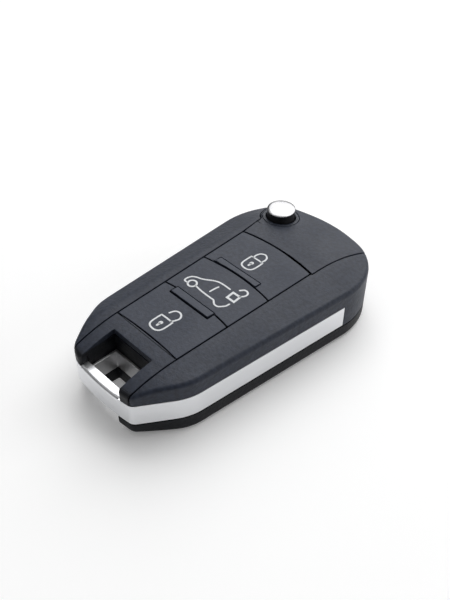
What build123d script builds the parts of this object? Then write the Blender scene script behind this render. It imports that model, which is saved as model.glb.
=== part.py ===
from build123d import *
from math import cos, radians, sin, tan
import os

# Flip-key fob shell, lying flat with its buttons up.
# +Y runs from the keyring end to the head, +X to the right when the buttons face the reader
# and the keyring end is nearest, +Z up. The origin lies on the table, on the spine's centre line.
# Millimetres.

# Case, along its length
ORIGIN_FROM_END = 35.0       # the origin to the keyring end
KEYRING_LENGTH = 12.2        # keyring end to the first button, at the long seams
BUTTON_LENGTHS = (13.7, 11.9, 13.1)        # unlock, side door and lock button, at the long seams
HEAD_LENGTH = 20.5           # last button to the crown's corner, before that is rounded

# Case, in height
CASE_TOP = 14.4              # height of the flat spine over the table
PARTING = 4.1                # height of the line between the two housings
WALL = 1.5
ROOF = 1.6                   # thickness of the wings
FLOOR = 1.4

# Case, outline in plan, to its corners before they are rounded
KEYRING_HALF = 9.5
KEYRING_BOW = 0.8            # how far the keyring end bows out
RIGHT_WAIST = 16.0           # centre line to where the right side leaves the slanted corner
RIGHT_WAIST_FROM_END = 9.9
LEFT_WAIST = 16.4
LEFT_WAIST_FROM_END = 12.3
RIGHT_HALF = 21.6            # centre line to the head's right corner
RIGHT_CORNER_BACK = 5.4      # how far that corner lies behind the crown
LEFT_HALF = 20.0
LEFT_CORNER_BACK = 6.3
CROWN_OFF_CENTRE = 0.2
KEYRING_RIGHT_ROUND = 2.0
KEYRING_LEFT_ROUND = 5.0
WAIST_ROUND = 12.0
HEAD_ROUND = 15.5
CROWN_ROUND = 24.0

# Case, outline in section
WING_START = 1.2             # widest seams to the crease where the wings start to fall
WING_ROUND = 5.5             # radius of that crease
RIGHT_FALL = 5.7             # degrees that the right wing falls
LEFT_FALL = 21.8
KEYRING_DROP = 2.0           # how far the spine falls towards the keyring end
HEAD_DROP = 2.4              # how far it falls towards the crown
HEAD_FALL_LENGTH = 16.4      # the crown to where that fall starts
BOTTOM_RISE = 1.4            # how far the underside rises towards the keyring end
SHOULDER_ROUND = 1.1
BOTTOM_ROUND = 1.4
ARC_ANGLE = 35.0             # degrees that a falling or rising arc is carried round, well past its end
LEFT_FOOT_BACK = 2.2         # how far the lower housing stands back under the left end of the bar
PARTING_GROOVE = 0.25        # open line between the housings, beyond the band

# Spine, the strip between the two long seams
SPINE_HALF_KEYRING = 9.2
SPINE_HALF_HEAD = 10.8
SPINE_THICK = 1.8
DECK_THICK = 1.2             # shelf of the upper housing under the spine
SEAM_WALL = 1.2              # thickness of the walls that guide the buttons
SEAM_GAP = 0.08              # between pieces that are fixed beside each other
PLATE_GAP = 0.26             # open seam round the fixed spine plates
PLATE_THICK = 1.4            # thickness of those plates
HEAD_STEP = 0.35             # small step of the right seam where the head cap starts
HEAD_RIGHT_TURN = 8.0        # how far past the lock button the cap's right edge starts to run out
HEAD_RIGHT_BOW = 0.6         # how far it has run out there
HEAD_RIGHT_RUN = 3.9         # how far it has run out at the crown
COLLAR_SEAM = 5.15           # pivot axis to the seam that runs round the collar
COLLAR_SEAM_START = 242.0    # direction from the pivot in which the long seam starts to run round it
COLLAR_SEAM_END = 200.0      # and in which it leaves it again, straight on to the crown

# Buttons
BUTTON_BOWS = (0.5, 0.9, 1.1, 1.2)         # how far each cross seam bows towards the head
BUTTON_GAP = 0.3
BUTTON_THICK = 1.5
BUTTON_TRAVEL = 0.4
BUTTON_FLANGE = 0.45         # how far the flange under each button reaches past its edge
BUTTON_FLANGE_THICK = 0.6
BUTTON_FLANGE_GAP = 0.15
BUTTON_PLUNGER_RADIUS = 1.6
BUTTON_SKIRT = 1.2           # wall left round the hollow under each button
TAB_HALF = 5.8               # tab of the side door button that reaches into the unlock button
TAB_OFF_CENTRE = -0.8
TAB_LENGTH = 1.3
RIDGE_HEIGHT = 0.3           # finger ridge, at its front edge
RIDGE_STEP = 0.08            # and at its back edge
RIDGE_WIDTH = 2.0
RIDGE_GROOVE = 0.14          # width and depth of the groove round it
LOCK_RIDGE_HALF = 6.25
LOCK_RIDGE_OFF_CENTRE = -1.05

# Switch mat and board carrier
MAT_THICK = 0.9
MAT_DOME_RADIUS = 2.7
MAT_DOME_HEIGHT = 0.6
MAT_DOME_SLOPE = 0.7         # how much narrower a dome is at its top
MAT_DOME_WALL = 0.8
MAT_CORNER_ROUND = 1.0
MAT_BORDER = 0.4             # how far the mat reaches past the button opening
CARRIER_THICK = 1.0
CARRIER_LEG = 2.2
LEG_INSET = 1.5              # legs to the ends of the button field
SWITCH_WINDOW = 6.0
STACK_GAP = 0.05             # between pieces that lie on each other
CELL_RADIUS = 8.1
CELL_RING_WALL = 0.9
CELL_RING_HEIGHT = 1.8
CONTACT_THICK = 0.25
CONTACT_WIDTH = 3.0
CONTACT_FOOT = 1.5           # flat part of the spring contact that lies on the carrier
CONTACT_BOW = 0.9            # how far the spring contact bows out towards the cell

# Keyring window, bar and liner
WINDOW_HALF = 6.1
WINDOW_FROM_END = 8.7        # inner end of the window to the keyring end
MOUTH_ROUND = 0.8            # on the two arms, over the bar
CHUTE_WALL = 1.0
LINER_WALL = 0.65
LINER_TOP = 8.5
LINER_BOTTOM = 3.7
BAND_THICK = 1.5
BAND_BOTTOM = 4.4
BAND_TOP = 9.8
BAND_RIGHT_BACK = 19.4       # the crown to the band's right end
BAND_LEFT_REACH = 10.0       # keyring end to the band's left end
BAR_ROUND = 0.8              # top outer edge of the bar, between the arms
BAND_LIP_THICK = 0.7
BAND_LIP_HEIGHT = 1.1
BAND_LIP_BACK = 0.5          # how far the lip stops short of the band's ends

# Blade and its pivot
PIVOT_FROM_SIDE = 11.0       # pivot axis to the head's left corner
PIVOT_FROM_HEAD = 9.2        # pivot axis to the crown
PIVOT_GAP = 0.05
BARREL_RADIUS = 4.6
BARREL_CUP_RADIUS = 3.7
BARREL_JAW = 0.7
JOURNAL_RADIUS = 3.0
JOURNAL_LENGTH = 2.0
BLADE_THICK = 2.4
BLADE_WIDTH = 8.0
BLADE_LEFT = 6.8             # left edge of the stowed blade to the pivot axis
BLADE_LENGTH = 47.0          # tip to the pivot axis
BLADE_SHOULDER = 4.2         # shoulder of the blade to the pivot axis
TANG_WIDTH = 5.8
TANG_PAST_AXIS = 2.0
BLADE_GAP = 0.4              # over and under the blade in its slot
BLADE_SIDE_GAP = 0.6
BLADE_END_GAP = 1.0          # past the tip
BLADE_GROOVE_WIDTH = 2.4
BLADE_GROOVE_DEPTH = 0.6
BLADE_GROOVE_END = 3.0       # how far before the barrel the grooves end
BLADE_TIP = 3.0              # length of the pointed tip
BLADE_TIP_CUT = 2.4          # how far the tip is cut in from each edge
PIN_RADIUS = 0.8
PIN_OFF_AXIS = 2.2

# Release button
CAP_RADIUS = 3.4
CAP_PROUD = 1.7              # rim of the cap over the spine
CAP_EDGE = 0.2               # height of that rim
CAP_DOME = 0.45
CAP_GAP = 0.1
CAP_BOSS_RADIUS = 2.4
CAP_BOSS_DEPTH = 0.8
PLUNGER_CROWN = 0.5
PLUNGER_INSET = 0.05         # the plunger's side to the cap's rim
RELEASE_TRAVEL = 1.6
COLLAR_RADIUS = 4.5
COLLAR_GAP = 0.3             # collar to the plunger
LUG_REACH = 0.7
LUG_WIDTH = 1.6
LUG_HEIGHT = 0.8
SPRING_WIRE = 0.5
SPRING_RADIUS = 2.5
SPRING_TURNS = 3
SPRING_SIDE_COUNT = 6        # sides of the wire's section

# Lower housing, inside
LIP_THICK = 0.7
LIP_HEIGHT = 0.9
LIP_GAP = 0.05
LIP_BREAK = 2.0              # how far past the blade's sweep the lip starts
POST_RADIUS = 1.5
SEAT_WALL = 1.3

# Worked out from the values above
KEYRING_Y = -ORIGIN_FROM_END
FIELD_START = KEYRING_Y + KEYRING_LENGTH
BUTTON_ENDS = [FIELD_START + sum(BUTTON_LENGTHS[:count]) for count in range(4)]
FIELD_END = BUTTON_ENDS[-1]
HEAD_Y = FIELD_END + HEAD_LENGTH
SPINE_UNDER = CASE_TOP - SPINE_THICK
DECK_UNDER = SPINE_UNDER - DECK_THICK
PIVOT_X = PIVOT_FROM_SIDE - LEFT_HALF
PIVOT_Y = HEAD_Y - PIVOT_FROM_HEAD
BAND_RIGHT_END = HEAD_Y - BAND_RIGHT_BACK
BAND_LEFT_END = KEYRING_Y + BAND_LEFT_REACH
WINDOW_Y = KEYRING_Y + WINDOW_FROM_END
BAR_INNER_Y = KEYRING_Y + BAND_THICK
BLADE_UNDER = PARTING + BLADE_GAP
BLADE_OVER = BLADE_UNDER + BLADE_THICK
SLOT_TOP = BLADE_OVER + BLADE_GAP
JAW_UNDER = BLADE_UNDER - BARREL_JAW
CUP_FLOOR = BLADE_OVER + BARREL_JAW
BARREL_TOP = DECK_UNDER - 2 * PIVOT_GAP
CAP_RIM = CASE_TOP + CAP_PROUD
CAP_UNDER = CAP_RIM - CAP_EDGE
PLUNGER_FOOT = DECK_UNDER - STACK_GAP - LUG_HEIGHT
PLUNGER_ROOF = CAP_UNDER - CAP_BOSS_DEPTH - PLUNGER_CROWN
BLADE_RIGHT_X = PIVOT_X - BLADE_LEFT + BLADE_WIDTH
BAY_X = BLADE_RIGHT_X + BLADE_SIDE_GAP
MAT_TOP = DECK_UNDER - STACK_GAP
MAT_UNDER = MAT_TOP - MAT_THICK
CARRIER_TOP = MAT_UNDER - STACK_GAP
CARRIER_UNDER = CARRIER_TOP - CARRIER_THICK
FAR = 4 * HEAD_Y             # longer than anything that it cuts
HAIR = 0.02                  # distance within which an edge counts as lying on a line


def spine_half(y, gap=0.0):
    """Half width of the spine at y, less a gap."""
    share = (y - KEYRING_Y) / (FIELD_END - KEYRING_Y)
    return SPINE_HALF_KEYRING + share * (SPINE_HALF_HEAD - SPINE_HALF_KEYRING) - gap


def outline(inset=0.0):
    """Plan of the case, pulled in by inset all round."""
    corners = {
        (KEYRING_HALF, KEYRING_Y): KEYRING_RIGHT_ROUND,
        (RIGHT_WAIST, KEYRING_Y + RIGHT_WAIST_FROM_END): WAIST_ROUND,
        (RIGHT_HALF, HEAD_Y - RIGHT_CORNER_BACK): HEAD_ROUND,
        (CROWN_OFF_CENTRE, HEAD_Y): CROWN_ROUND,
        (-LEFT_HALF, HEAD_Y - LEFT_CORNER_BACK): HEAD_ROUND,
        (-LEFT_WAIST, KEYRING_Y + LEFT_WAIST_FROM_END): WAIST_ROUND,
        (-KEYRING_HALF, KEYRING_Y): KEYRING_LEFT_ROUND,
    }
    sides = Polyline(*corners)
    end = ThreePointArc((-KEYRING_HALF, KEYRING_Y), (0, KEYRING_Y - KEYRING_BOW), (KEYRING_HALF, KEYRING_Y))
    plan = make_face(sides.edges() + end.edges())
    for place, radius in corners.items():
        plan = fillet(plan.vertices().sort_by_distance(Vertex(*place))[0], radius)
    if inset:
        plan = offset(plan, amount=-inset)
    return plan


def polygon(*corners):
    """A flat face with straight sides."""
    return make_face(Polyline(*corners, close=True).edges())


def prism(face, bottom, top):
    """A flat plan made into a solid between two heights."""
    return Pos(0, 0, bottom) * extrude(face, top - bottom)


def block(x0, x1, y0, y1, z0, z1):
    """A block between three pairs of limits."""
    return Pos(x0, y0, z0) * Box(x1 - x0, y1 - y0, z1 - z0, align=(Align.MIN,) * 3)


def disc(x, y, radius, bottom, top):
    """An upright cylinder."""
    return Pos(x, y, bottom) * Cylinder(radius, top - bottom, align=(Align.CENTER, Align.CENTER, Align.MIN))


def roof_section(lowered=0.0):
    """Section of the case across its length: a flat spine that turns into a falling wing on each side."""
    crease = SPINE_HALF_HEAD + WING_START
    right = RIGHT_HALF + WALL
    left = LEFT_HALF + WALL
    right_drop = (right - crease) * tan(radians(RIGHT_FALL))
    left_drop = (left - crease) * tan(radians(LEFT_FALL))
    under = -CASE_TOP - WALL
    section = polygon((-left, -left_drop), (-crease, 0), (crease, 0), (right, -right_drop),
                      (right, under), (-left, under))
    creases = section.vertices().sort_by(Axis.Y)[-2:]
    return Pos(0, -lowered, 0) * fillet(creases, WING_ROUND)


def falling_arc(start, drop, length, way):
    """Two places on an arc that leaves the level roof at start and has fallen by drop after length."""
    radius = (length ** 2 + drop ** 2) / (2 * drop)
    angles = (radians(ARC_ANGLE / 2), radians(ARC_ANGLE))
    return [(0, start + way * radius * sin(turned), CASE_TOP - radius * (1 - cos(turned))) for turned in angles]


def under_roof(lowered=0.0):
    """Everything under the roof: the section carried from the crown along the spine to the keyring end."""
    head_start = HEAD_Y - HEAD_FALL_LENGTH
    head_middle, head_far = falling_arc(head_start, HEAD_DROP, HEAD_FALL_LENGTH, 1)
    end_middle, end_far = falling_arc(FIELD_START, KEYRING_DROP, KEYRING_LENGTH, -1)
    rise = ThreePointArc(head_far, head_middle, (0, head_start, CASE_TOP))
    level = Line((0, head_start, CASE_TOP), (0, FIELD_START, CASE_TOP))
    fall = ThreePointArc((0, FIELD_START, CASE_TOP), end_middle, end_far)
    path = Wire([rise.edge(), level.edge(), fall.edge()])
    across = Plane(origin=path @ 0, x_dir=(1, 0, 0), z_dir=path % 0)
    return sweep(across * roof_section(lowered), path=path)


def over_floor(raised=0.0):
    """Everything over the underside, which is level and rises round an arc to the keyring end."""
    radius = (KEYRING_LENGTH ** 2 + BOTTOM_RISE ** 2) / (2 * BOTTOM_RISE)
    angles = (0, radians(ARC_ANGLE / 2), radians(ARC_ANGLE))
    start, middle, end = [(FIELD_START - radius * sin(turned), raised + radius * (1 - cos(turned)))
                          for turned in angles]
    rise = ThreePointArc(start, middle, end)
    rest = Polyline(end, (end[0], FAR), (FAR, FAR), (FAR, raised), start)
    return extrude(Plane.YZ * make_face(rise.edges() + rest.edges()), FAR, both=True)


def roofed(plan, bottom, lowered=0.0):
    """A plan carried up from bottom to the roof."""
    return prism(plan, bottom, CASE_TOP + WALL) & under_roof(lowered)


def plate_space(plan):
    """A plan cut out of the roof as deep as the fixed plates are thick."""
    return prism(plan, BAND_TOP, CASE_TOP + WALL) - UNDER_PLATES


def end_line(x):
    """Where the bowed keyring end lies at x."""
    radius = (KEYRING_HALF ** 2 + KEYRING_BOW ** 2) / (2 * KEYRING_BOW)
    return KEYRING_Y - KEYRING_BOW + radius - (radius ** 2 - x ** 2) ** 0.5


def on_outline(edge):
    """True for an edge that runs round the case."""
    rim = outline().wires()[0]
    middle = edge @ 0.5
    flat = Vector(middle.X, middle.Y, 0)
    return rim.distance_to(flat) < HAIR and abs((edge % 0.5).Z) < 1 - HAIR


def case_form():
    """The closed outer form of the upper half, with its shoulders rounded all the way round."""
    body = roofed(outline(), PARTING)
    shoulders = [e for e in body.edges() if (e @ 0.5).Z > BAND_TOP and on_outline(e)]
    return fillet(shoulders, SHOULDER_ROUND)


FORM = case_form()
UNDER_PLATES = under_roof(PLATE_THICK)


def spine_plan(y0, y1, gap=0.0):
    """The strip between the long seams, from y0 to y1."""
    return polygon((-spine_half(y0, gap), y0), (spine_half(y0, gap), y0),
                   (spine_half(y1, gap), y1), (-spine_half(y1, gap), y1))


def button_plan(start, end, side_gap, end_gap):
    """Plan of one button: straight sides and two bowed ends."""
    y0 = BUTTON_ENDS[start] + end_gap
    y1 = BUTTON_ENDS[end] - end_gap
    bow0 = BUTTON_BOWS[start]
    bow1 = BUTTON_BOWS[end]
    x0 = spine_half(y0, side_gap)
    x1 = spine_half(y1, side_gap)
    lines = [ThreePointArc((-x0, y0), (0, y0 + bow0), (x0, y0)), Line((x0, y0), (x1, y1)),
             ThreePointArc((x1, y1), (0, y1 + bow1), (-x1, y1)), Line((-x1, y1), (-x0, y0))]
    return make_face(lines)


def head_plan(gap=0.0):
    """Plan of the head cap: its right side runs out to the crown and its left side turns round the collar."""
    y0 = FIELD_END
    side = spine_half(y0) + HEAD_STEP - gap
    left = -spine_half(y0) + gap
    turn = (side + HEAD_RIGHT_BOW, y0 + HEAD_RIGHT_TURN)
    right_end = side + HEAD_RIGHT_RUN
    past = HEAD_Y + WALL
    start = radians(COLLAR_SEAM_START)
    stop = radians(COLLAR_SEAM_END)
    directions = (start, (start + stop) / 2, stop)
    leave, by_collar, on = [(PIVOT_X + (COLLAR_SEAM - gap) * cos(direction),
                             PIVOT_Y + (COLLAR_SEAM - gap) * sin(direction)) for direction in directions]
    crown_x = on[0] - (past - on[1]) * tan(stop)
    lines = [ThreePointArc((left, y0 + gap), (0, y0 + BUTTON_BOWS[-1] + gap), (side, y0 + gap)),
             ThreePointArc((side, y0 + gap), turn, (right_end, HEAD_Y)),
             Polyline((right_end, HEAD_Y), (right_end, past), (crown_x, past), on),
             ThreePointArc(on, by_collar, leave),
             Line(leave, (left, y0 + gap))]
    return make_face([edge for line in lines for edge in line.edges()])


def band_region(growth=0.0):
    """Plan of everything that the trim band runs through: right side, keyring end, left corner."""
    right = block(0, FAR, -FAR, BAND_RIGHT_END + growth, 0, CASE_TOP)
    end = block(-FAR, FAR, -FAR, BAND_LEFT_END + growth, 0, CASE_TOP)
    return right + end


def inside_band(gap, bottom, top):
    """Everything inside the band's inner face, which runs straight across at the keyring's bar."""
    inside = prism(outline(BAND_THICK + gap), bottom, top)
    return inside & block(-FAR, FAR, BAR_INNER_Y + gap, FAR, bottom, top)


def window_block(growth, bottom, top, reach=WALL):
    """The keyring window as a block, grown on its three closed sides."""
    return block(-WINDOW_HALF - growth, WINDOW_HALF + growth, KEYRING_Y - reach,
                 WINDOW_Y + growth, bottom, top)


def blade_sweep():
    """The space that the blade needs to swing out round the head's left corner."""
    side = block(-FAR, BAY_X, PIVOT_Y - BLADE_LENGTH - BLADE_END_GAP, PIVOT_Y, PARTING - WALL, SLOT_TOP)
    head_x = PIVOT_X + BLADE_LEFT + BLADE_SIDE_GAP
    head = block(-FAR, head_x, PIVOT_Y, FAR, PARTING - WALL, SLOT_TOP)
    return side + head


def upper_housing():
    """Wings, side walls and the shelf that carries the spine pieces."""
    wall_half = SPINE_HALF_HEAD + BUTTON_FLANGE + BUTTON_FLANGE_GAP + SEAM_WALL
    cavity = roofed(outline(WALL), PARTING - WALL, ROOF)
    cavity -= block(-wall_half, wall_half, -FAR, FAR, DECK_UNDER, CASE_TOP)
    over_head = block(-wall_half, wall_half, FIELD_END, FAR, 0, CASE_TOP)
    cavity -= over_head - under_roof(PLATE_THICK + DECK_THICK)
    body = FORM - cavity
    body -= plate_space(spine_plan(KEYRING_Y - WALL, FIELD_START + BUTTON_BOWS[0]))
    body -= prism(button_plan(0, 3, 0, 0), SPINE_UNDER, FAR)
    body -= plate_space(head_plan())
    opening = button_plan(0, 3, -BUTTON_FLANGE - BUTTON_FLANGE_GAP, -BUTTON_GAP / 2)
    body -= prism(opening, DECK_UNDER - WALL, SPINE_UNDER)
    body -= window_block(CHUTE_WALL + SEAM_GAP, 0, FAR)
    end_half = spine_half(KEYRING_Y)
    body -= block(-end_half, end_half, KEYRING_Y - WALL, BAR_INNER_Y + SEAM_GAP, BAND_TOP, FAR)
    groove = prism(outline(-WALL), 0, BAND_TOP + SEAM_GAP) - inside_band(SEAM_GAP, 0, FAR)
    body -= groove & band_region(SEAM_GAP)
    body -= blade_sweep()
    body += socket_tube()
    body -= disc(PIVOT_X, PIVOT_Y, BARREL_RADIUS + PIVOT_GAP, 0, BARREL_TOP + PIVOT_GAP)
    body -= disc(PIVOT_X, PIVOT_Y, CAP_RADIUS + LUG_REACH, 0, DECK_UNDER)
    body -= disc(PIVOT_X, PIVOT_Y, CAP_RADIUS + CAP_GAP, 0, FAR)
    return body


def socket_tube():
    """The round socket in the upper housing that the barrel turns in, over the blade's slot."""
    tube = disc(PIVOT_X, PIVOT_Y, BARREL_RADIUS + SEAT_WALL, SLOT_TOP, DECK_UNDER + STACK_GAP)
    return tube & prism(outline(WALL / 2), 0, FAR)


def lower_housing():
    """Tray with a rounded bottom, a lip, the barrel's seat, posts and the keyring notch."""
    body = prism(outline(), 0, PARTING) & over_floor()
    rim = [e for e in body.edges() if (e @ 0.5).Z < PARTING / 2 and on_outline(e)]
    body = fillet(rim, BOTTOM_ROUND)
    line = prism(outline(-WALL), PARTING - PARTING_GROOVE, FAR) - prism(outline(PARTING_GROOVE), 0, FAR)
    body -= line - band_region()
    body -= left_foot(0)
    body -= (prism(outline(WALL), 0, PARTING + WALL) & over_floor(FLOOR)) - left_foot(WALL)
    lip = prism(outline(WALL + LIP_GAP), 0, PARTING + LIP_HEIGHT) & inside_band(LIP_GAP, 0, FAR)
    lip += prism(outline(WALL / 2), 0, PARTING)
    lip -= prism(outline(WALL + LIP_GAP + LIP_THICK), 0, FAR)
    lip = (lip & over_floor(FLOOR / 2)) - left_foot(0)
    clear_of_blade = PIVOT_X + BLADE_LEFT + LIP_BREAK
    lip &= block(clear_of_blade, FAR, -FAR, FAR, 0, FAR) + block(-FAR, FAR, -FAR, BAND_LEFT_END, 0, FAR)
    body += lip - window_block(CHUTE_WALL + SEAM_GAP, 0, FAR)
    pad = prism(outline(WALL / 2), 0, LINER_BOTTOM - STACK_GAP) & over_floor(FLOOR / 2)
    body -= window_block(CHUTE_WALL + SEAM_GAP, LINER_BOTTOM - STACK_GAP, FAR, reach=-BAND_THICK)
    body += (pad & window_block(CHUTE_WALL, 0, FAR)) - left_foot(0)
    seat = disc(PIVOT_X, PIVOT_Y, JOURNAL_RADIUS + SEAT_WALL, FLOOR / 2, JAW_UNDER - PIVOT_GAP)
    body += seat & prism(outline(WALL / 2), 0, FAR)
    body -= disc(PIVOT_X, PIVOT_Y, JOURNAL_RADIUS + PIVOT_GAP, JAW_UNDER - JOURNAL_LENGTH - PIVOT_GAP, FAR)
    body -= disc(PIVOT_X, PIVOT_Y, BARREL_RADIUS + PIVOT_GAP, JAW_UNDER - PIVOT_GAP, FAR)
    for x, y in leg_places():
        body += disc(x, y, POST_RADIUS, FLOOR / 2, PARTING)
    body -= window_block(-LINER_WALL - STACK_GAP, -WALL, FAR, reach=2 * WALL)
    return body


def left_foot(growth):
    """The space under the left end of the bar, where the lower housing stands back."""
    right = -WINDOW_HALF + LINER_WALL + STACK_GAP + growth
    return block(-FAR, right, -FAR, KEYRING_Y + LEFT_FOOT_BACK + growth, -WALL, FAR)


def leg_places():
    """Where the board carrier stands on the lower housing's posts."""
    left = BAY_X + POST_RADIUS
    right = SPINE_HALF_HEAD - CARRIER_LEG / 2
    back = FIELD_START + LEG_INSET
    front = FIELD_END - LEG_INSET
    return [(left, back), (right, back), (left, front), (right, front)]


def keyring_surround():
    """Spine plate round the keyring window, with the chute that runs down through the case."""
    plan = spine_plan(KEYRING_Y - WALL, FIELD_START + BUTTON_BOWS[0], PLATE_GAP)
    field = button_plan(0, 3, -WALL, -PLATE_GAP / 2)
    plate = FORM & (plate_space(plan) - prism(field, 0, FAR))
    end_half = spine_half(KEYRING_Y, PLATE_GAP)
    end = FORM & block(-end_half, end_half, KEYRING_Y - WALL, BAR_INNER_Y, BAND_TOP + SEAM_GAP, FAR)
    chute = window_block(CHUTE_WALL, LINER_BOTTOM, SPINE_UNDER)
    body = plate + end + (chute & inside_band(SEAM_GAP, 0, FAR) & FORM)
    return body - window_block(0, 0, FAR) - mouth()


def mouth():
    """What rounds the ends of the two arms over the bar."""
    half = WINDOW_HALF + MOUTH_ROUND
    y = end_line(half) + MOUTH_ROUND
    space = block(-half, half, -FAR, y, BAND_TOP, FAR)
    return space - disc(-half, y, MOUTH_ROUND, 0, FAR) - disc(half, y, MOUTH_ROUND, 0, FAR)


def head_cap():
    """Spine plate over the head, bored for the collar of the release button."""
    body = FORM & plate_space(head_plan(PLATE_GAP))
    return body - disc(PIVOT_X, PIVOT_Y, COLLAR_RADIUS + SEAM_GAP, 0, FAR)


def button(start, end):
    """One button: a cap with a flange and a plunger under it."""
    underside = CASE_TOP - BUTTON_THICK
    cap = FORM & prism(button_plan(start, end, BUTTON_GAP, BUTTON_GAP / 2), underside, FAR)
    flange_top = SPINE_UNDER - BUTTON_FLANGE_GAP
    foot = flange_top - BUTTON_FLANGE_THICK
    flange = prism(button_plan(start, end, -BUTTON_FLANGE, BUTTON_GAP / 2), foot, flange_top)
    neck = prism(button_plan(start, end, BUTTON_GAP, BUTTON_GAP / 2), foot, underside)
    hollow = prism(button_plan(start, end, BUTTON_GAP + BUTTON_SKIRT, BUTTON_SKIRT), 0, underside)
    middle = (BUTTON_ENDS[start] + BUTTON_ENDS[end]) / 2
    plunger_foot = MAT_TOP + MAT_DOME_HEIGHT + BUTTON_TRAVEL + STACK_GAP
    plunger = disc(0, middle, BUTTON_PLUNGER_RADIUS, plunger_foot, CASE_TOP - BUTTON_THICK / 2)
    return cap + (flange + neck - hollow) + plunger


def tab_plan(growth):
    """Plan of the side door button's tab."""
    y1 = BUTTON_ENDS[1] + BUTTON_BOWS[1] + BUTTON_SKIRT / 2
    y0 = BUTTON_ENDS[1] - TAB_LENGTH + BUTTON_GAP / 2
    x0 = TAB_OFF_CENTRE - TAB_HALF
    x1 = TAB_OFF_CENTRE + TAB_HALF
    return polygon((x0 - growth, y0 - growth), (x1 + growth, y0 - growth),
                   (x1 + growth, y1), (x0 - growth, y1))


def ridged(body, plan, front, middle, half):
    """A button with a low wedge along its front edge, highest there, and a fine groove round the wedge."""
    back = front + RIDGE_WIDTH
    low = CASE_TOP - RIDGE_GROOVE
    y0 = front - WALL
    reach = half + RIDGE_GROOVE
    body -= block(middle - reach, middle + reach, y0, back + RIDGE_GROOVE, low, FAR)
    wedge = polygon((y0, low), (back, low), (back, CASE_TOP + RIDGE_STEP), (front, CASE_TOP + RIDGE_HEIGHT),
                    (y0, CASE_TOP + RIDGE_HEIGHT))
    wedge = Pos(middle - half, 0, 0) * extrude(Plane.YZ * wedge, 2 * half)
    return body + (wedge & prism(plan, 0, FAR))


def button_side_door():
    """The middle button, with a ridged tab that reaches into the unlock button's field."""
    plan = button_plan(1, 2, BUTTON_GAP, BUTTON_GAP / 2) + tab_plan(0)
    body = button(1, 2) + prism(tab_plan(0), CASE_TOP - BUTTON_THICK, CASE_TOP)
    front = BUTTON_ENDS[1] - TAB_LENGTH + BUTTON_GAP / 2
    return ridged(body, plan, front, TAB_OFF_CENTRE, TAB_HALF)


def button_lock():
    """The button next to the head, with a ridge along its lower edge."""
    front = BUTTON_ENDS[2] + BUTTON_BOWS[2] / 2 + BUTTON_GAP / 2
    plan = button_plan(2, 3, BUTTON_GAP, BUTTON_GAP / 2)
    return ridged(button(2, 3), plan, front, LOCK_RIDGE_OFF_CENTRE, LOCK_RIDGE_HALF)


def button_unlock():
    """The button next to the keyring, cut back round the tab."""
    return button(0, 1) - prism(tab_plan(BUTTON_GAP), SPINE_UNDER - BUTTON_FLANGE_GAP, FAR)


def button_centres():
    """Places of the three switches along the spine."""
    return [(BUTTON_ENDS[i] + BUTTON_ENDS[i + 1]) / 2 for i in range(3)]


def stack_plate(bottom, top):
    """A plate with rounded corners that lies under the whole button field."""
    half = SPINE_HALF_HEAD + BUTTON_FLANGE + MAT_BORDER
    back = FIELD_START - MAT_BORDER
    front = FIELD_END + BUTTON_BOWS[-1] + MAT_BORDER
    plate = block(-half, half, back, front, bottom, top)
    return fillet(plate.edges().filter_by(Axis.Z), MAT_CORNER_ROUND)


def keypad_mat():
    """Rubber switch mat with a dome under each button."""
    body = stack_plate(MAT_UNDER, MAT_TOP)
    for y in button_centres():
        dome = Cone(MAT_DOME_RADIUS, MAT_DOME_RADIUS - MAT_DOME_SLOPE, MAT_DOME_HEIGHT)
        body += Pos(0, y, MAT_TOP + MAT_DOME_HEIGHT / 2) * dome
        body -= disc(0, y, MAT_DOME_RADIUS - MAT_DOME_WALL, 0, MAT_TOP)
    return body


def cell_centre():
    """Where the coin cell's ring is centred, against the right side of the carrier."""
    x = SPINE_HALF_HEAD + BUTTON_FLANGE + MAT_BORDER - CELL_RADIUS - CELL_RING_WALL
    return x, (FIELD_START + FIELD_END) / 2


def board_carrier():
    """Frame that backs the mat, stands on four legs and has a ring for the coin cell."""
    body = stack_plate(CARRIER_UNDER, CARRIER_TOP)
    x, y = cell_centre()
    body += disc(x, y, CELL_RADIUS + CELL_RING_WALL, CARRIER_UNDER - CELL_RING_HEIGHT, CARRIER_UNDER)
    body -= disc(x, y, CELL_RADIUS, 0, CARRIER_UNDER)
    for y in button_centres():
        reach = SWITCH_WINDOW / 2
        body -= block(-reach, reach, y - reach, y + reach, CARRIER_UNDER, FAR)
    for x, y in leg_places():
        body += disc(x, y, CARRIER_LEG / 2, PARTING + STACK_GAP, CARRIER_UNDER)
    return body


def cell_spring_contact():
    """Bowed strip of sheet metal under the carrier that presses on the coin cell's face."""
    x, y = cell_centre()
    top = CARRIER_UNDER - STACK_GAP
    inner = SWITCH_WINDOW / 2 + STACK_GAP
    outer = x + CELL_RADIUS - CELL_RING_WALL
    middle = (inner + CONTACT_FOOT + outer) / 2
    low = top - CONTACT_THICK
    with BuildSketch(Plane.XZ) as profile:
        with BuildLine():
            Polyline((outer, top), (outer, low))
            ThreePointArc((outer, low), (middle, low - CONTACT_BOW), (inner + CONTACT_FOOT, low))
            Polyline((inner + CONTACT_FOOT, low), (inner, low), (inner, top), (inner + CONTACT_FOOT, top))
            ThreePointArc((inner + CONTACT_FOOT, top), (middle, top - CONTACT_BOW), (outer, top))
        make_face()
    return Pos(0, y, 0) * extrude(profile.sketch, CONTACT_WIDTH / 2, both=True)


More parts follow.
